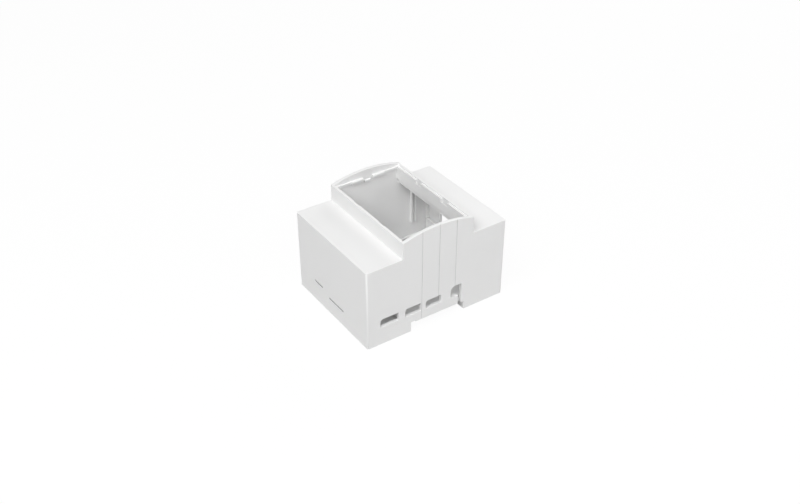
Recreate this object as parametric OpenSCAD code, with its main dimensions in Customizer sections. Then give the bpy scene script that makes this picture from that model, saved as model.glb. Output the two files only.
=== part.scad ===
// Stepped enclosure for a 35 mm mounting rail: housing, base and two sliding rail latches.
// X runs across the rail, Y along the rail, Z away from the rail. Millimetres.

/* [Body] */
// Length across the rail
body_l = 90; // [84:1:110]
// Width along the rail, four modules
body_w = 71; // [62:1:107]
// Height of the shoulders over the feet
shoulder_h = 49; // [45:1:54]
// Length of the raised nose across the rail
nose_l = 45; // [42:0.5:50]
// Height of the nose's two long rims over the feet
nose_h = 58.8; // [58:0.2:70]
// Rise of the arched end walls over the long rims
arch_rise = 3.4; // [2:0.2:6]
// Thickness of the housing's outer walls
wall = 2; // [1.6:0.1:2.4]
// Radius of the four upright corners
corner_r = 1; // [0.4:0.1:1.5]

/* [Front window] */
// Thickness of the nose's long walls
rim_t = 1.3; // [1:0.1:1.6]
// Width of the ledge that carries a front panel
ledge_w = 1.2; // [0.8:0.1:1.6]
// Drop from the long rims to the ledge
ledge_drop = 1; // [0.6:0.1:1.6]
// Height of the thick band below the ledge
band_h = 7.6; // [5:0.2:8]
// Depth of the ledge on the end walls
end_ledge_w = 0.9; // [0.6:0.1:1.4]
// Thickness of the ledge on the end walls
end_ledge_t = 1.4; // [1:0.1:2]
// Depth of the four wider tabs on the end ledges
tab_w = 1.8; // [1.5:0.1:2.4]
// Length of each tab
tab_l = 7.4; // [5:0.2:9]
// Gap in the middle of the end ledges
ledge_gap = 6.4; // [5:0.2:8]
// Length of the panel catch in that gap
catch_l = 4; // [2:0.5:4.5]
// Height of the panel catch
catch_h = 1.2; // [0.8:0.1:1.6]
// Drop from the ledge to the catch
catch_drop = 2; // [1.6:0.1:3]
// Length of the hook slots in the long ledges
hook_slot_l = 5.5; // [4:0.5:8]
// Depth of the hook slots below the ledge
hook_slot_h = 2.2; // [1.4:0.2:3]
// Thickness of the lip in front of each hook pocket
hook_lip = 0.4; // [0.3:0.05:0.5]
// Depth of each hook pocket behind its lip
hook_pocket = 2.5; // [1.5:0.1:3]
// Distance of the hook slots from the body's centre
hook_slot_y = 12.2; // [9:0.2:15]

/* [Openings in the end walls] */
// Height of the three wire slots' lower edge
slot_z = 11.2; // [10:0.2:13]
// Height of each wire slot
slot_h = 5.2; // [4.6:0.2:5.4]
// Centre of the outer wire slot
outer_slot_x = -31; // [-31.4:0.2:-28]
// Length of the outer wire slot
outer_slot_l = 11.6; // [9:0.2:12]
// Centre of the middle wire slot
middle_slot_x = -15.9; // [-17:0.1:-15.1]
// Centre of the inner wire slot
inner_slot_x = -2.6; // [-3.2:0.1:-1.6]
// Length of the middle and inner wire slots
slot_l = 10.2; // [8:0.2:10.4]
// Radius of the wire slots' round upper corner
slot_r = 1.6; // [1:0.1:2]
// Left edge of the cable gate
gate_x = 8.9; // [7:0.1:10]
// Length of the cable gate
gate_l = 7.4; // [6.4:0.1:8.4]
// Height of the cable gate
gate_h = 7.3; // [6.5:0.1:8.5]
// Radius of the cable gate's large corner
gate_r = 3.2; // [2:0.1:4]
// Radius of the cable gate's small corner
gate_small_r = 0.8; // [0.4:0.1:1.2]
// Width of the slit from the cable gate down to the rail notch
gate_slit_w = 2.3; // [1.4:0.1:2.8]
// Position of the middle one of three upright score lines
score_x = 0.7; // [-1:0.1:1.4]
// Distance from one score line to the next
score_pitch = 11; // [10.8:0.1:12]
// Width of the score lines
score_w = 0.35; // [0.3:0.05:0.6]
// Depth of the score lines
score_d = 0.3; // [0.2:0.05:0.8]

/* [Openings in the side walls] */
// Centre of the short snap slit along the rail
short_slit_y = 14.3; // [13:0.1:16]
// Length of the short snap slit
short_slit_l = 8.5; // [6:0.1:10]
// Height of the short snap slit's centre
short_slit_z = 12.9; // [12:0.1:13.4]
// Centre of the long snap slit along the rail
long_slit_y = -4.1; // [-5:0.1:-3]
// Length of the long snap slit
long_slit_l = 14.8; // [12:0.1:16]
// Height of the long snap slit's centre
long_slit_z = 9.9; // [9:0.1:11]
// Height of the snap slits
slit_h = 1; // [0.8:0.05:1.1]
// Length of the cable window in one side wall
window_l = 44; // [30:1:46]
// Lower edge of the cable window
window_z = 16.5; // [16.2:0.1:20]
// Upper edge of the cable window
window_top = 32; // [28:0.5:38]

/* [Inside the housing] */
// Centre of the board guides
guide_x = 31.5; // [26:0.5:32]
// Thickness of the board that the guides hold
board_t = 1.6; // [1:0.2:2]
// Clearance of that board in the guides
board_clear = 0.2; // [0.1:0.1:0.4]
// Thickness of each guide rib
guide_t = 1; // [0.8:0.1:1.4]
// Depth of each guide rib
guide_d = 1.6; // [1:0.1:2.4]
// Lower end of the guide ribs
guide_z = 16.5; // [16:0.5:20]
// Upper end of the guide ribs
guide_top = 38.5; // [30:0.5:42]
// Thickness of the stop ribs
stop_t = 1.2; // [0.8:0.1:1.6]
// Depth of the stop ribs
stop_d = 1.9; // [1.6:0.1:2.4]

/* [Rail] */
// Width of the mounting rail
rail_w = 35; // [35:0.1:35.4]
// Thickness of the rail's flanges
rail_t = 1; // [1:0.1:1.5]
// Clearance across the rail
rail_clear = 0.4; // [0.2:0.1:0.8]
// Offset of the rail from the body's centre
rail_x = 0.4; // [-1:0.1:1]
// Height of the face that rests on the rail
seat_z = 5; // [4.9:0.1:5.6]
// Extra height of the notches in the housing's end walls
notch_clear = 0.4; // [0.2:0.1:0.6]
// Length of the relief for tilting the rail in
relief_l = 3; // [2:0.2:4]
// Height of that relief
relief_h = 0.7; // [0.4:0.1:0.9]
// Clearance between a flange and what holds it
flange_clear = 0.2; // [0.1:0.05:0.3]
// Reach of the fixed hooks under the rail
hook_reach = 1.8; // [1.4:0.1:2.4]
// Width of each fixed hook
hook_w = 12; // [8:0.5:16]
// Thickness of each fixed hook at its tip
hook_tip = 1.4; // [1:0.1:1.8]

/* [Base] */
// Clearance between the base and the housing
fit = 0.2; // [0.1:0.05:0.3]
// Thickness of the floor over the rail
floor_t = 1.8; // [1.4:0.1:2.2]
// Thickness of the plates under the two feet
foot_t = 1.8; // [1.4:0.1:2.4]
// Thickness of the webs beside the rail
web_t = 1.8; // [1.4:0.1:2.4]
// Thickness of the upstanding skirts
skirt_t = 1.6; // [1.2:0.1:2]
// Height of the side skirts that carry the snap teeth
side_skirt_h = 15.2; // [14.6:0.1:16]
// Height of the end skirts
end_skirt_h = 7.2; // [7:0.1:9.4]
// Height of each snap tooth
tooth_h = 0.5; // [0.3:0.05:0.6]
// Reach of each snap tooth into the housing wall
tooth_d = 0.8; // [0.6:0.1:1.2]
// Width of the gaps beside each snap arm
arm_gap = 1; // [0.8:0.1:1.4]
// Height of the skirt left whole under the snap arms
arm_root = 1.5; // [1.2:0.1:1.8]

/* [Rail latches] */
// Distance of each latch from the end wall beside it
latch_inset = 17.75; // [17:0.25:21.5]
// Width of each latch
latch_w = 12; // [10:0.5:13]
// Reach of the latches under the rail
latch_reach = 2.2; // [1.6:0.1:2.6]
// Travel that frees the rail
latch_travel = 3.5; // [2.8:0.1:3.8]
// Height of the latches' underside over the feet
latch_lift = 0.4; // [0.3:0.1:0.6]
// Thickness of the latches' tip
latch_tip = 1; // [0.8:0.1:1.4]
// Running clearance around each latch
latch_clear = 0.3; // [0.25:0.05:0.4]
// Start of the spring fingers, from the rail side of the guide
finger_start = 6; // [5:0.5:7]
// Length of the spring fingers
finger_l = 12; // [10:0.5:12]
// Thickness of the spring fingers
finger_t = 1.2; // [0.8:0.1:1.4]
// Width of the gap behind each finger
finger_gap = 0.9; // [0.7:0.1:1.2]
// Length of the bump at each finger's end
bump_l = 2; // [1.6:0.1:2.4]
// Reach of each bump into its groove
bump_d = 0.9; // [0.7:0.1:1]
// Height of each bump
bump_h = 1.4; // [1:0.1:1.6]
// Thickness of the guide walls beside each latch
guide_wall = 2.8; // [2.6:0.1:3.2]
// Thickness of the roof over each latch
roof_t = 1.2; // [0.8:0.1:1.4]
// Length of the blade slot
blade_slot_l = 2; // [1.4:0.1:2.2]
// Width of the blade slot
blade_slot_w = 6; // [5:0.5:8]
// Distance from the blade slot to the latch's outer end
blade_slot_inset = 1.5; // [1.2:0.1:2]
// Height of the blade recess over the latch
blade_recess = 2.7; // [2:0.1:3]

/* [Hidden] */
$fn = 96;

light_grey = [0.86, 0.86, 0.855];
base_grey = [0.80, 0.80, 0.795];
latch_grey = [0.70, 0.71, 0.715];

over = 1;                       // how far a cutting shape runs past a face
half_l = body_l / 2;
half_w = body_w / 2;
inner_x = half_l - wall;
inner_y = half_w - wall;
nose_x = nose_l / 2;
rim_x = nose_x - rim_t;         // inner face of the long rims
ledge_x = rim_x - ledge_w;      // inner edge of the ledge and face of the band
ledge_z = nose_h - ledge_drop;
arch_r = (nose_x * nose_x + arch_rise * arch_rise) / (2 * arch_rise);
arch_centre_z = nose_h + arch_rise - arch_r;

channel_w = rail_w + rail_clear;
channel_left = rail_x - channel_w / 2;
channel_right = rail_x + channel_w / 2;
grip_z = seat_z - rail_t - flange_clear;   // top of the hooks and latches
notch_z = seat_z + notch_clear;

base_x = inner_x - fit;
base_y = inner_y - fit;
floor_z = seat_z + floor_t;
slits = [[short_slit_y, short_slit_l, short_slit_z], [long_slit_y, long_slit_l, long_slit_z]];

finger_x = channel_right + finger_start;
finger_end = finger_x + finger_l;
latch_y = half_w - latch_inset;
pocket_w = latch_w + 2 * latch_clear;
pocket_z = grip_z + latch_clear;
roof_z = pocket_z + roof_t;     // top of the boxes round the latches
bump_z = (latch_lift + grip_z) / 2;
blade_z = grip_z + blade_recess;
stop_slack = 0.05;              // keeps a bump off its groove's ends

// A box from one corner to the opposite corner
module span(low, high) {
    translate(low)
        cube(high - low);
}

// An outline drawn in X and Z, extruded along Y from y0 to y1
module along_y(y0, y1) {
    translate([0, y1, 0])
        rotate([90, 0, 0])
            linear_extrude(height = y1 - y0)
                children();
}

// The same thing at both ends or on both sides
module both_x() {
    children();
    mirror([1, 0, 0])
        children();
}

module both_y() {
    children();
    mirror([0, 1, 0])
        children();
}

// Rectangle with round corners, centred
module round_rect(l, w, r) {
    square([l - 2 * r, w], center = true);
    square([l, w - 2 * r], center = true);
    for (x = [-1, 1], y = [-1, 1])
        translate([x * (l / 2 - r), y * (w / 2 - r)])
            circle(r);
}

// The rail's space seen from the end, with its relief, up to height z
module rail_space(z) {
    translate([channel_left, -over])
        square([channel_w, z + over]);
    translate([channel_left, 0])
        square([relief_l, z + relief_h]);
}

// ---- housing ----

module stepped_outline() {
    translate([-half_l, 0])
        square([body_l, shoulder_h]);
    translate([-nose_x, 0])
        square([nose_l, nose_h]);
}

module arched_outline() {
    stepped_outline();
    intersection() {
        translate([0, arch_centre_z])
            circle(arch_r, $fn = 180);
        translate([-nose_x, shoulder_h])
            square([nose_l, nose_h]);
    }
}

module housing_shell() {
    difference() {
        intersection() {
            union() {
                along_y(-half_w, half_w)
                    stepped_outline();
                both_y()
                    along_y(inner_y, half_w)
                        arched_outline();
            }
            linear_extrude(height = nose_h + arch_rise + over)
                round_rect(body_l, body_w, corner_r);
        }
        span([-inner_x, -inner_y, -over], [inner_x, inner_y, shoulder_h - wall]);
        span([-rim_x, -inner_y, 0], [rim_x, inner_y, nose_h + over]);
    }
}

// Thick band and ledge inside the long walls of the nose
module long_ledge() {
    difference() {
        span([ledge_x, -inner_y, ledge_z - band_h], [rim_x, inner_y, ledge_z]);
        for (y = [-hook_slot_y, hook_slot_y])
            hook_slot(y);
    }
}

// Gap across a long ledge, with a pocket behind a lip, for a hook of the front panel
module hook_slot(y) {
    low = ledge_z - hook_slot_h;
    span([ledge_x - over, y - hook_slot_l / 2, low],
         [rim_x, y + hook_slot_l / 2, ledge_z + over]);
    span([ledge_x + hook_lip, y - hook_slot_l / 2, low - hook_pocket],
         [rim_x, y + hook_slot_l / 2, ledge_z + over]);
}

// Ledge, tabs and panel catch inside one end wall
module end_ledge() {
    low = ledge_z - end_ledge_t;
    both_x() {
        span([ledge_gap / 2, inner_y - end_ledge_w, low], [rim_x, inner_y, ledge_z]);
        span([ledge_gap / 2, inner_y - tab_w, low], [ledge_gap / 2 + tab_l, inner_y, ledge_z]);
    }
    span([-catch_l / 2, inner_y - end_ledge_w, ledge_z - catch_drop - catch_h],
         [catch_l / 2, inner_y, ledge_z - catch_drop]);
}

// A pair of upright ribs that hold a board's edge
module board_guide() {
    gap = board_t + board_clear;
    for (x = [guide_x - gap / 2 - guide_t, guide_x + gap / 2])
        span([x, inner_y - guide_d, guide_z], [x + guide_t, inner_y, guide_top]);
}

// Upright rib in an inner corner, whose foot stops the base's side skirt
module stop_rib() {
    span([inner_x - stop_d, inner_y - stop_t, side_skirt_h + fit],
         [inner_x, inner_y, shoulder_h - wall]);
}

// Slot centred at x, l long, with one round upper corner
module wire_slot(x, l) {
    translate([x - l / 2, slot_z]) {
        square([l, slot_h - slot_r]);
        translate([slot_r, 0])
            square([l - slot_r, slot_h]);
        translate([slot_r, slot_h - slot_r])
            circle(slot_r);
    }
}

// Opening with one large and one small top corner, and a slit down to the rail notch
module cable_gate() {
    right = gate_x + gate_l;
    top = slot_z + gate_h;
    intersection() {
        translate([gate_x, slot_z])
            square([gate_l, gate_h]);
        union() {
            translate([gate_x + gate_r, top - gate_r])
                circle(gate_r);
            translate([gate_x, slot_z])
                square([gate_l, gate_h - gate_r]);
            translate([gate_x + gate_r, slot_z])
                square([gate_l, gate_h - gate_small_r]);
            translate([gate_x + gate_r, slot_z])
                square([gate_l - gate_r - gate_small_r, gate_h]);
            translate([right - gate_small_r, top - gate_small_r])
                circle(gate_small_r);
        }
    }
    translate([right - gate_slit_w, 0])
        square([gate_slit_w, slot_z + over]);
}

// What is cut through both end walls
module end_openings() {
    rail_space(notch_z);
    wire_slot(outer_slot_x, outer_slot_l);
    wire_slot(middle_slot_x, slot_l);
    wire_slot(inner_slot_x, slot_l);
}

module score_line(x, z) {
    span([x - score_w / 2, half_w - score_d, z],
         [x + score_w / 2, half_w + over, nose_h + arch_rise + over]);
}

// The middle line ends at the inner wire slot, the last one at height last_z
module score_lines(last_z) {
    score_line(score_x - score_pitch, 0);
    score_line(score_x, slot_z + slot_h / 2);
    score_line(score_x + score_pitch, last_z);
}

// A slit through the side wall at +X for each snap tooth
module snap_slits() {
    for (s = slits)
        span([inner_x - over, s[0] - s[1] / 2, s[2] - slit_h / 2],
             [half_l + over, s[0] + s[1] / 2, s[2] + slit_h / 2]);
}

module cable_window() {
    span([inner_x - over, -window_l / 2, window_z], [half_l + over, window_l / 2, window_top]);
}

// Opening over one latch, wide and high enough for a blade
module latch_gate(x) {
    span([x, -pocket_w / 2, -over], [half_l + over, pocket_w / 2, blade_z]);
}

module upper_housing() {
    color(light_grey)
        difference() {
            union() {
                housing_shell();
                both_x()
                    long_ledge();
                both_y()
                    end_ledge();
                both_x()
                    both_y()
                        board_guide();
                both_x()
                    both_y()
                        stop_rib();
            }
            both_y()
                along_y(inner_y - over / 2, half_w + over)
                    end_openings();
            along_y(-half_w - over, over / 2 - inner_y)
                cable_gate();
            score_lines(0);
            mirror([0, 1, 0])
                score_lines(slot_z + gate_h / 2);
            both_x()
                snap_slits();
            cable_window();
            for (y = [-latch_y, latch_y])
                translate([0, y, 0])
                    latch_gate(inner_x - over);
        }
}

// ---- base ----

// Snap teeth on the side skirt at +X, with a sloping top, in the middle of the housing's slits
module snap_teeth() {
    tip = base_x + fit + tooth_d;
    for (s = slits)
        along_y(s[0] - s[1] / 2 + fit, s[0] + s[1] / 2 - fit)
            polygon([[base_x - skirt_t, s[2] - tooth_h / 2], [tip, s[2] - tooth_h / 2],
                     [tip, s[2]], [base_x, s[2] + tooth_h / 2], [base_x - skirt_t, s[2] + tooth_h / 2]]);
}

// Gaps beside each tooth, from height z up, that free its arm to bend
module arm_gaps(z) {
    for (s = slits, side = [-1, 1]) {
        y = s[0] + side * (s[1] + arm_gap) / 2;
        span([base_x - skirt_t - over, y - arm_gap / 2, z],
             [base_x + over, y + arm_gap / 2, side_skirt_h + over]);
    }
}

module side_skirt() {
    span([base_x - skirt_t, -base_y, 0], [base_x, base_y, side_skirt_h]);
}

module end_skirt() {
    span([-base_x, base_y - skirt_t, 0], [base_x, base_y, end_skirt_h]);
}

module base_shell() {
    span([channel_left - web_t, -base_y, 0], [channel_right + web_t, base_y, floor_z]);
    span([-base_x, -base_y, 0], [base_x, base_y, foot_t]);
    both_x() {
        side_skirt();
        snap_teeth();
    }
    both_y()
        end_skirt();
}

// Closed box around one latch's guide
module latch_box() {
    half = pocket_w / 2 + guide_wall;
    span([channel_right, -half, 0], [base_x, half, roof_z]);
}

// The space that one latch slides in, with a groove for each bump
module latch_pocket() {
    groove_y = latch_w / 2 + bump_d + latch_clear;
    groove_z = bump_h / 2 + fit;
    groove_x0 = finger_end - bump_l - stop_slack;
    groove_x1 = finger_end + latch_travel + stop_slack;
    span([channel_right - over, -pocket_w / 2, -over], [half_l, pocket_w / 2, pocket_z]);
    span([groove_x0, -groove_y, bump_z - groove_z], [groove_x1, groove_y, bump_z + groove_z]);
    latch_gate(base_x - skirt_t - blade_recess);
}

// Hook under the rail's fixed edge, with a sloping underside
module fixed_hook() {
    along_y(-hook_w / 2, hook_w / 2)
        polygon([[channel_left - web_t, grip_z], [channel_left - web_t, 0], [channel_left, 0],
                 [channel_left + hook_reach, grip_z - hook_tip], [channel_left + hook_reach, grip_z]]);
}

module base() {
    color(base_grey)
        difference() {
            union() {
                difference() {
                    base_shell();
                    along_y(-half_w, half_w)
                        rail_space(seat_z);
                }
                for (y = [-latch_y, latch_y])
                    translate([0, y, 0]) {
                        latch_box();
                        fixed_hook();
                    }
            }
            for (y = [-latch_y, latch_y])
                translate([0, y, 0])
                    latch_pocket();
            arm_gaps(blade_z + arm_root);
            mirror([1, 0, 0])
                arm_gaps(foot_t + arm_root);
        }
}

// ---- rail latches ----

module latch_outline() {
    tip = channel_right - latch_reach;
    polygon([[tip, grip_z], [tip, grip_z - latch_tip], [channel_right, latch_lift],
             [half_l, latch_lift], [half_l, grip_z]]);
}

// Space behind and at the end of the spring finger at +Y
module finger_slit() {
    low = latch_w / 2 - finger_t - finger_gap;
    span([finger_x, low, -over], [finger_end + finger_gap, low + finger_gap, grip_z + over]);
    span([finger_end, low, -over], [finger_end + finger_gap, latch_w, grip_z + over]);
}

module finger_bump() {
    span([finger_end - bump_l, latch_w / 2 - finger_t, bump_z - bump_h / 2],
         [finger_end, latch_w / 2 + bump_d, bump_z + bump_h / 2]);
}

module blade_slot() {
    x = half_l - blade_slot_inset - blade_slot_l;
    span([x, -blade_slot_w / 2, -over], [x + blade_slot_l, blade_slot_w / 2, grip_z + over]);
}

module rail_latch() {
    difference() {
        along_y(-latch_w / 2, latch_w / 2)
            latch_outline();
        both_y()
            finger_slit();
        blade_slot();
    }
    both_y()
        finger_bump();
}

module rail_latch_near() {
    color(latch_grey)
        translate([0, -latch_y, 0])
            rail_latch();
}

module rail_latch_far() {
    color(latch_grey)
        translate([0, latch_y, 0])
            rail_latch();
}

upper_housing();
base();
rail_latch_near();
rail_latch_far();
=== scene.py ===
import math
import bpy
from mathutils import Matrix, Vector


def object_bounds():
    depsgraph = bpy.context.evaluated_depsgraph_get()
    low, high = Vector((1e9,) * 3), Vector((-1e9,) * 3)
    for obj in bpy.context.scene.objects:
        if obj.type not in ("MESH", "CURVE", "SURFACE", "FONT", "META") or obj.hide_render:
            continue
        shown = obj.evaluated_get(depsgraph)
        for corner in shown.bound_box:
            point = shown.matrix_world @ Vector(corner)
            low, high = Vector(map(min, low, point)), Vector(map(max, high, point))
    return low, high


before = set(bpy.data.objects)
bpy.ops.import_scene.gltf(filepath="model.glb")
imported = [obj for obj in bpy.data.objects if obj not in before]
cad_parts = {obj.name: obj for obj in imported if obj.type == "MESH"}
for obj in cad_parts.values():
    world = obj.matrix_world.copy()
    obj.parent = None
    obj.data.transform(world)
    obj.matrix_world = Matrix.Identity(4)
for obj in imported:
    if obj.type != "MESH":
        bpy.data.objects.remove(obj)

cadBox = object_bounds()
print("frame loaded:", sorted(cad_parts))

mm = 0.001


class Wire:
    # one output of a node; maths on it adds Math nodes

    def __init__(self, finish, socket):
        self.finish = finish
        self.socket = socket

    def maths(self, operation, first, second):
        return self.finish.node("ShaderNodeMath", {"operation": operation}, {0: first, 1: second})

    def __add__(self, other):
        return self.maths("ADD", self, other)

    def __sub__(self, other):
        return self.maths("SUBTRACT", self, other)

    def __mul__(self, other):
        return self.maths("MULTIPLY", self, other)

    def __rsub__(self, other):
        return self.maths("SUBTRACT", other, self)

    __radd__ = __add__
    __rmul__ = __mul__

    def __abs__(self):
        return self.maths("ABSOLUTE", self, 0)

    def below(self, limit):
        # 1 where the value is under the limit, else 0
        return self.maths("LESS_THAN", self, limit)


class Finish:
    # the node tree of a material or the world, and the one method that adds nodes to it

    def __init__(self, owner):
        self.owner = owner
        owner.use_nodes = True
        self.tree = owner.node_tree
        self.tree.nodes.clear()

    def node(self, kind, settings=None, inputs=None, output=0):
        made = self.tree.nodes.new(kind)
        for name, value in (settings or {}).items():
            setattr(made, name, value)
        for name, value in (inputs or {}).items():
            if isinstance(value, Wire):
                self.tree.links.new(value.socket, made.inputs[name])
            else:
                made.inputs[name].default_value = value
        if len(made.outputs):
            return Wire(self, made.outputs[output])

    def seenDirectly(self):
        # 1 for the camera and for mirror and glass rays, 0 for the light that surfaces throw
        camera, glossy, glass = [
            self.node("ShaderNodeLightPath", output=name)
            for name in ("Is Camera Ray", "Is Glossy Ray", "Is Transmission Ray")
        ]
        return self.node("ShaderNodeMath", {"operation": "ADD", "use_clamp": True},
                         {0: camera, 1: glossy + glass})


# thin slits in both side walls; the material paints shade inside them
snapSlits = {
    "places": [                  # middle along y, middle in z, length
        (14.3 * mm, 12.9 * mm, 8.5 * mm),
        (-4.1 * mm, 9.9 * mm, 14.8 * mm),
    ],
    "height": 1.0 * mm,
    "from": 43.02 * mm,          # just outside the wall's inner face
    "to": 44.9 * mm,             # just under the wall's outer face
    "shade": 0.5,                # share of the colour taken away inside the slits, as painted shade
}

# shallow break-out lines in both end walls; the material paints shade along them
breakLines = {
    "places": [-10.3 * mm, 0.7 * mm, 11.7 * mm],      # middle along x
    "width": 0.35 * mm,
    "from": 35.1 * mm,           # just under the floor of the line
    "to": 35.44 * mm,            # just under the wall's outer face
    # share of the colour taken away along the lines, as painted shade
    "shade": 0.15,
}

grooveSlack = 0.06 * mm          # the painted shade reaches this far past a groove's edges


def between(value, low, high):
    return value.below(high) * (1 - value.below(low))


def paintedGrooveShade(finish, place):
    # share of the colour that is left: 1 on the walls, less inside the slits and lines, where the
    # material paints their shade
    x, y, z = [finish.node("ShaderNodeSeparateXYZ", None, {0: place}, output=axis) for axis in "XYZ"]
    inSlit = 0
    for middle, height, length in snapSlits["places"]:
        alongRail = abs(y - middle).below(length / 2 + grooveSlack)
        upright = abs(z - height).below(snapSlits["height"] / 2 + grooveSlack)
        inSlit = alongRail * upright + inSlit
    inSlit = inSlit * between(abs(x), snapSlits["from"], snapSlits["to"])
    inLine = 0
    for middle in breakLines["places"]:
        inLine = abs(x - middle).below(breakLines["width"] / 2 + grooveSlack) + inLine
    inLine = inLine * between(abs(y), breakLines["from"], breakLines["to"])
    return (1 - inSlit * snapSlits["shade"]) * (1 - inLine * breakLines["shade"])


# what all the moulded plastics share
moulding = {
    "cloudScale": 38.0,          # slow change of tone over the walls
    "cloudDetail": 3.0,
    "cloudTone": 0.03,
    "cloudRoughness": 0.06,
    "grainScale": 2600.0,        # fine grain of the mould
    "grainDetail": 2.0,
    "grainRoughness": 0.1,
    "grainStrength": 0.25,
    "grainDepth": 0.02 * mm,
    "blue": 0.997,               # a trace less blue than red and green
    "ior": 1.5,
}


def mouldedPlastic(name, look):
    finish = Finish(bpy.data.materials.new(name))
    place = finish.node("ShaderNodeTexCoord", output="Object")
    cloud, grain = [
        finish.node("ShaderNodeTexNoise", {"noise_dimensions": "4D"},
                    {"Vector": place, "W": look["seed"],
                     "Scale": moulding[noise + "Scale"], "Detail": moulding[noise + "Detail"]})
        for noise in ("cloud", "grain")
    ]
    tone = (cloud - 0.5) * moulding["cloudTone"] + look["grey"]
    # the tone is darkened by painted shade in the slits and break-out lines
    level = tone * paintedGrooveShade(finish, place)
    colour = finish.node("ShaderNodeCombineColor", None,
                         {"Red": level, "Green": level, "Blue": level * moulding["blue"]})
    roughness = ((grain - 0.5) * moulding["grainRoughness"]
                 + (cloud - 0.5) * moulding["cloudRoughness"] + look["roughness"])
    relief = finish.node("ShaderNodeBump", None, {
        "Height": grain,
        "Strength": moulding["grainStrength"],
        "Distance": moulding["grainDepth"],
    })
    shader = finish.node("ShaderNodeBsdfPrincipled", None, {
        "Base Color": colour,
        "Roughness": roughness,
        "Normal": relief,
        "IOR": moulding["ior"],
    })
    finish.node("ShaderNodeOutputMaterial", None, {"Surface": shader})
    return finish.owner


edges = {
    "weldReach": 0.002 * mm,
    "flatAngle": 0.5,            # degrees: faces flatter than this become one
    "sharpAngle": 40,            # degrees: edges sharper than this are rounded
    "steps": 2,
}


def softenEdges(piece, radius):
    weld = piece.modifiers.new("weld", "WELD")
    weld.merge_threshold = edges["weldReach"]
    flat = piece.modifiers.new("flat", "DECIMATE")
    flat.decimate_type = "DISSOLVE"
    flat.angle_limit = math.radians(edges["flatAngle"])
    bevel = piece.modifiers.new("edges", "BEVEL")
    bevel.width = radius
    bevel.segments = edges["steps"]
    bevel.limit_method = "ANGLE"
    bevel.angle_limit = math.radians(edges["sharpAngle"])
    bevel.use_clamp_overlap = True


# one entry for each kind of piece; the two latches are alike
pieces = {
    "housing": {
        "nodes": ["upper_housing"],
        "grey": 0.87,
        "roughness": 0.5,
        "seed": 0.0,
        "edgeRadius": 0.15 * mm,
    },
    "base": {
        "nodes": ["base"],
        "grey": 0.85,
        "roughness": 0.52,
        "seed": 3.1,
        "edgeRadius": 0.12 * mm,
    },
    "latch": {
        "nodes": ["rail_latch_near", "rail_latch_far"],
        "grey": 0.76,
        "roughness": 0.48,
        "seed": 6.4,
        "edgeRadius": 0.15 * mm,
    },
}


def dress(node, material, radius):
    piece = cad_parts[node]
    piece.data.materials.clear()
    piece.data.materials.append(material)
    softenEdges(piece, radius)


for name, look in pieces.items():
    material = mouldedPlastic(name + "Plastic", look)
    for node in look["nodes"]:
        dress(node, material, look["edgeRadius"])
print("pieces dressed")


studio = {
    "floorSize": 4.0,
    "floorGrey": 0.58,
    "floorWhiteness": 0.9,       # share of plain white that the camera sees over the lit floor
    "floorWhite": 1.05,          # a little over 1, so that the mixture with the lit floor is white
    "skyStrength": 0.15,
    "lampDistance": 1.3,
    "lampSize": 0.8,
    "lamps": {                   # degrees round from looking along +Y, degrees up, watts
        "keyLamp": (-64.0, 50.0, 11.9),
        "frontLamp": (-18.0, 40.0, 4.4),
        "rightLamp": (38.0, 30.0, 2.6),
        "backLamp": (118.0, 26.0, 4.2),
    },
}


def towards(azimuth, elevation):
    turn, rise = math.radians(azimuth), math.radians(elevation)
    return Vector((math.sin(turn) * math.cos(rise), -math.cos(turn) * math.cos(rise), math.sin(rise)))


def aimAlong(thing, away):
    thing.rotation_euler = (-away).to_track_quat("-Z", "Y").to_euler()


def makeFloor():
    bpy.ops.mesh.primitive_plane_add(size=studio["floorSize"])
    floor = bpy.context.object
    floor.name = "floor"
    finish = Finish(bpy.data.materials.new("floorWhite"))
    grey = studio["floorGrey"]
    lit = finish.node("ShaderNodeBsdfDiffuse", None, {"Color": (grey, grey, grey, 1)})
    white = finish.node("ShaderNodeEmission", None, {"Strength": studio["floorWhite"]})
    seen = finish.seenDirectly() * studio["floorWhiteness"]
    mixed = finish.node("ShaderNodeMixShader", None, {0: seen, 1: lit, 2: white})
    finish.node("ShaderNodeOutputMaterial", None, {"Surface": mixed})
    floor.data.materials.append(finish.owner)


def makeSky():
    world = bpy.data.worlds.new("studioSky")
    bpy.context.scene.world = world
    finish = Finish(world)
    strength = finish.seenDirectly() * (1 - studio["skyStrength"]) + studio["skyStrength"]
    sky = finish.node("ShaderNodeBackground", None, {"Color": (1, 1, 1, 1), "Strength": strength})
    finish.node("ShaderNodeOutputWorld", None, {"Surface": sky})


def makeLamps():
    target = (cadBox[0] + cadBox[1]) / 2
    for name, (azimuth, elevation, watts) in studio["lamps"].items():
        light = bpy.data.lights.new(name, "AREA")
        light.size = studio["lampSize"]
        light.energy = watts
        away = towards(azimuth, elevation)
        lamp = bpy.data.objects.new(name, light)
        lamp.location = target + away * studio["lampDistance"]
        aimAlong(lamp, away)
        bpy.context.scene.collection.objects.link(lamp)


cameraPlace = {
    "aim": (-0.0002, 0.0002, 0.025),
    "azimuth": -34.2,            # degrees round from looking along +Y
    "elevation": 34.71,
    "distance": 0.5595,
    "lens": 45.08,
    "sensor": 36.0,
    "nearest": 0.01,
}


def makeCamera():
    back = towards(cameraPlace["azimuth"], cameraPlace["elevation"])
    data = bpy.data.cameras.new("camera")
    data.lens = cameraPlace["lens"]
    data.sensor_width = cameraPlace["sensor"]
    data.clip_start = cameraPlace["nearest"]
    camera = bpy.data.objects.new("camera", data)
    camera.location = Vector(cameraPlace["aim"]) + back * cameraPlace["distance"]
    aimAlong(camera, back)
    bpy.context.scene.collection.objects.link(camera)
    bpy.context.scene.camera = camera


makeFloor()
makeSky()
makeLamps()
makeCamera()
bpy.context.scene.view_settings.view_transform = "Standard"
print("stage, lamps and camera made")
